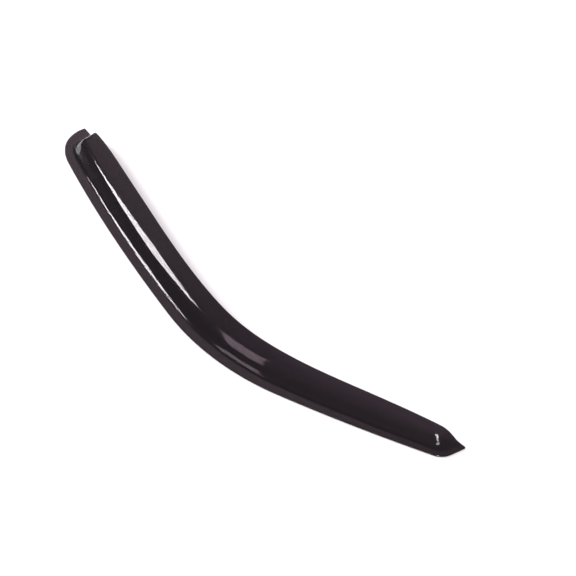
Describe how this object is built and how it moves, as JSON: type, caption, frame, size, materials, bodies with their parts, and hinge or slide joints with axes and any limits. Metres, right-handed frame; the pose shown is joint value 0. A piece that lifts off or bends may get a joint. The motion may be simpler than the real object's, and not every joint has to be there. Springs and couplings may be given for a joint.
{
  "type": "window rain deflector",
  "caption": "Formed smoke acrylic strip for a car door's window frame: a flat fixing flange, a raised crown and a free lower edge that sheds rain from the open window.",
  "frame": {"origin": "under the middle of the box around the part, in the plane of the flange's underside", "axes": "+X along the roof rail towards the rear of the car, +Y up the door from the free edge to the flange, +Z out from the car, away from the door"},
  "size_m": [0.9244, 0.2358, 0.0325],
  "materials": {
    "smoke_acrylic": "gloss"
  },
  "bodies": {
    "root": {"rain_deflector": "smoke_acrylic"}
  },
  "joints": []
}
